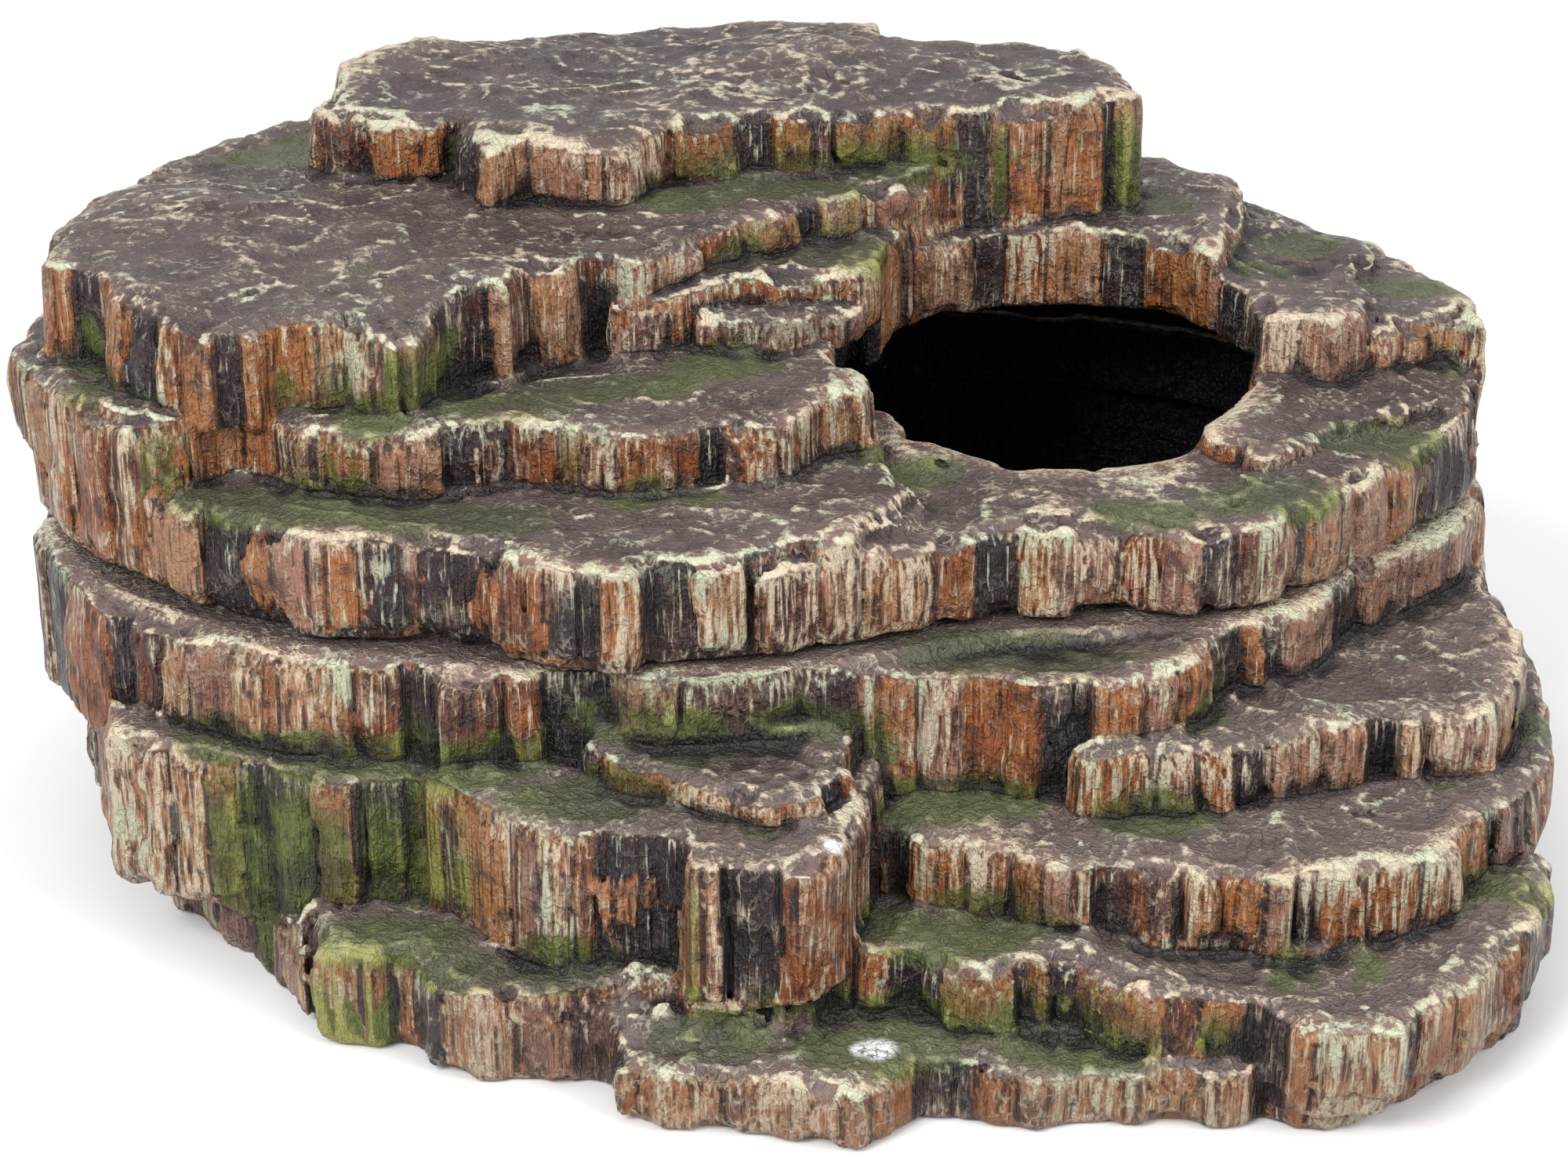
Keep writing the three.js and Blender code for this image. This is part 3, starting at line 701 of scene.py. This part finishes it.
    # moss
    green = m.mix(m.span(wide, 0.4, 0.6), (0.070, 0.074, 0.040), (0.095, 0.115, 0.042))
    leafy = m.mix(m.span(blotch, 0.4, 0.6), (0.036, 0.046, 0.012), (0.085, 0.115, 0.017))
    green = m.mix(m.math("SUBTRACT", 1.0, flat), green, leafy)
    green = m.mix(m.span(grain, 0.42, 0.60, 0, 0.4), green, (0.045, 0.055, 0.020))
    green = m.mix(m.span(m.math("MULTIPLY_ADD", rim, 0.3, edge), 0.25, 0.8, 0, 0.8), green,
                  (0.300, 0.310, 0.070))
    wash = m.math("MULTIPLY", foot, m.span(wide, 0.54, 0.62, 0, 0.8))
    wash = m.math("MAXIMUM", wash, moss)
    low_leaf = m.math("MULTIPLY", leaf, m.math("SUBTRACT", m.span(below, 1, 13, 0.42, 0.95), flat))
    wash = m.math("MAXIMUM", wash, low_leaf)
    wash = m.math("MULTIPLY_ADD", m.math("SUBTRACT", blotch, 0.5), 0.9, wash)
    wash = m.math("MULTIPLY_ADD", m.math("SUBTRACT", fibre, 0.5), 0.5, wash)
    wash = m.math("MULTIPLY_ADD", rough_grain, 0.5, wash)
    colour = m.mix(m.span(wash, 0.26, 0.95, 0, 0.88), colour, green)

    # cracks, feet and the near-black inside
    dark = m.span(gap, 0.6, 0.1, 0, 0.85)
    dark = m.math("MULTIPLY", dark, m.math("SUBTRACT", 1.0, flat))
    # darker in the hollows and at the feet of the rises: dark paint lines there, deepened by painted
    # contact shadow
    dark = m.math("MAXIMUM", dark, m.span(broad, -0.22, -0.62, 0, 0.9))
    colour = m.mix(dark, colour, (0.014, 0.011, 0.012))
    # white spots; the one 42 mm up is a chip in the paint
    colour = m.mix(m.math("MULTIPLY", m.fact("white_spot"), m.span(grain, 0.3, 0.55)), colour,
                   (0.80, 0.82, 0.84))
    # the inside, away from the open air, made near-black
    colour = m.mix(m.span(outer, 0.75, 0.35), colour, (0.010, 0.009, 0.010))
    m.put(colour, m.bsdf.inputs["Base Color"])

    rough = m.math("MULTIPLY_ADD", rough_grain, 0.40, 0.34)
    m.put(rough, m.bsdf.inputs["Roughness"])
    m.bsdf.inputs["Specular IOR Level"].default_value = 0.32
    height = m.math("MULTIPLY", fibre, m.math("SUBTRACT", 1.5, flat))
    height = m.math("MULTIPLY_ADD", crest, 0.25, height)
    height = m.math("MULTIPLY_ADD", blotch, 1.2, height)
    height = m.math("MULTIPLY_ADD", grain, 0.7, height)
    bump = m.add("Bump", {"Height": height, "Strength": 1.0, "Distance": 0.0012})
    m.put(bump.outputs[0], m.bsdf.inputs["Normal"])
    m.put(bump.outputs[0], m.bsdf.inputs["Coat Normal"])
    m.bsdf.inputs["Coat Weight"].default_value = 0.14
    m.bsdf.inputs["Coat Roughness"].default_value = 0.12
    return m.mat


# ---- the two castings ----------------------------------------------------------------------------
base, lid = survey("base_shell", False), survey("lid_shell", True)
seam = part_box("lid_shell")[0][2] / MM
base["free_sides"] = lambda z: 1 - smoothstep(seam - 0.8, seam + 0.2, z)
lid["free_sides"] = lambda z: np.float32(1.0)

# the lid's footprint, grown a little, on the base's own grid
foot_print = np.zeros(base["phi"].shape[:2], np.float32)
k = int((seam + 2 - lid["lo"][2]) / VOXEL)
shift = np.rint((lid["lo"] - base["lo"]) / VOXEL).astype(int)
w, d = lid["phi"].shape[:2]
part = ~lid["seen"][:, :, k]
sx, sy = max(0, -shift[0]), max(0, -shift[1])
tx, ty = max(0, shift[0]), max(0, shift[1])
nx, ny = min(w - sx, foot_print.shape[0] - tx), min(d - sy, foot_print.shape[1] - ty)
foot_print[tx:tx + nx, ty:ty + ny] = part[sx:sx + nx, sy:sy + ny]
uncovered = 1 - smoothstep(0.02, 0.25, blur(foot_print, 3.5, axes=(0, 1)))


def calm_base(x, y, z):
    """Still at the underside, and under the lid."""
    i = np.rint((x - base["lo"][0]) / VOXEL).astype(int)
    j = np.rint((y - base["lo"][1]) / VOXEL).astype(int)
    high = smoothstep(seam - 8, seam - 5, z)
    return smoothstep(0.5, 4.0, z) * (1 - high * (1 - uncovered[i, j])) * (z < seam)


def calm_lid(x, y, z):
    return smoothstep(seam + 1.0, seam + 6.0, z)


with ThreadPoolExecutor(2) as pool:
    jobs = [pool.submit(sculpt, base, SEED, calm_base), pool.submit(sculpt, lid, SEED + 1, calm_lid)]
    made_base, made_lid = (job.result() for job in jobs)
rock_base = make_piece("rock_base", "base_shell", "base", made_base)
rock_lid = make_piece("rock_lid", "lid_shell", "lid", made_lid)
rock_base.data.materials.append(painted_resin("painted_resin_base"))
rock_lid.data.materials.append(painted_resin("painted_resin_lid"))

# ---- floor, light, camera ------------------------------------------------------------------------
FLOOR_HALF = 4  # m
corners = [(sx * FLOOR_HALF, sy * FLOOR_HALF, 0) for sx, sy in ((-1, -1), (1, -1), (1, 1), (-1, 1))]
me = bpy.data.meshes.new("floor")
me.from_pydata(corners, [], [(0, 1, 2, 3)])
floor = bpy.data.objects.new("floor", me)
bpy.context.scene.collection.objects.link(floor)
pale = Nodes("pale_floor")
pale.put((0.86, 0.86, 0.86), pale.bsdf.inputs["Base Color"])
pale.bsdf.inputs["Roughness"].default_value = 0.8
me.materials.append(pale.mat)

world = bpy.data.worlds.new("studio")
bpy.context.scene.world = world
world.use_nodes = True
world.node_tree.nodes["Background"].inputs["Color"].default_value = (1, 1, 1, 1)
world.node_tree.nodes["Background"].inputs["Strength"].default_value = 0.75


def softbox(name, place, target, size, power):
    data = bpy.data.lights.new(name, "AREA")
    data.shape = "SQUARE"
    data.size = size
    data.energy = power
    obj = bpy.data.objects.new(name, data)
    bpy.context.scene.collection.objects.link(obj)
    obj.location = place
    away = np.array(place) - np.array(target)
    tilt = math.atan2(math.hypot(away[0], away[1]), away[2])
    obj.rotation_euler = (tilt, 0.0, math.atan2(away[0], -away[1]))


LIT = (0, 0, 0.05)  # where the softboxes point
softbox("key", (-0.7, -0.9, 1.0), LIT, 0.6, 17.5)
softbox("fill", (0.9, -0.7, 0.7), LIT, 0.7, 8)
softbox("top", (0.0, 0.2, 1.2), LIT, 0.7, 2.5)

CAM_TARGET = (0.00075, -0.027, 0.057)
CAM_DISTANCE, CAM_PITCH = 0.570, math.radians(25)
CAM_SENSOR, CAM_LENS = 36, 81.9  # mm
cam = bpy.data.cameras.new("camera")
cam.sensor_width = CAM_SENSOR
cam.lens = CAM_LENS
camera = bpy.data.objects.new("camera", cam)
bpy.context.scene.collection.objects.link(camera)
camera.location = (CAM_TARGET[0], CAM_TARGET[1] - CAM_DISTANCE * math.cos(CAM_PITCH),
                   CAM_TARGET[2] + CAM_DISTANCE * math.sin(CAM_PITCH))
camera.rotation_euler = (math.pi / 2 - CAM_PITCH, 0, 0)
bpy.context.scene.camera = camera
bpy.context.scene.view_settings.view_transform = "Standard"
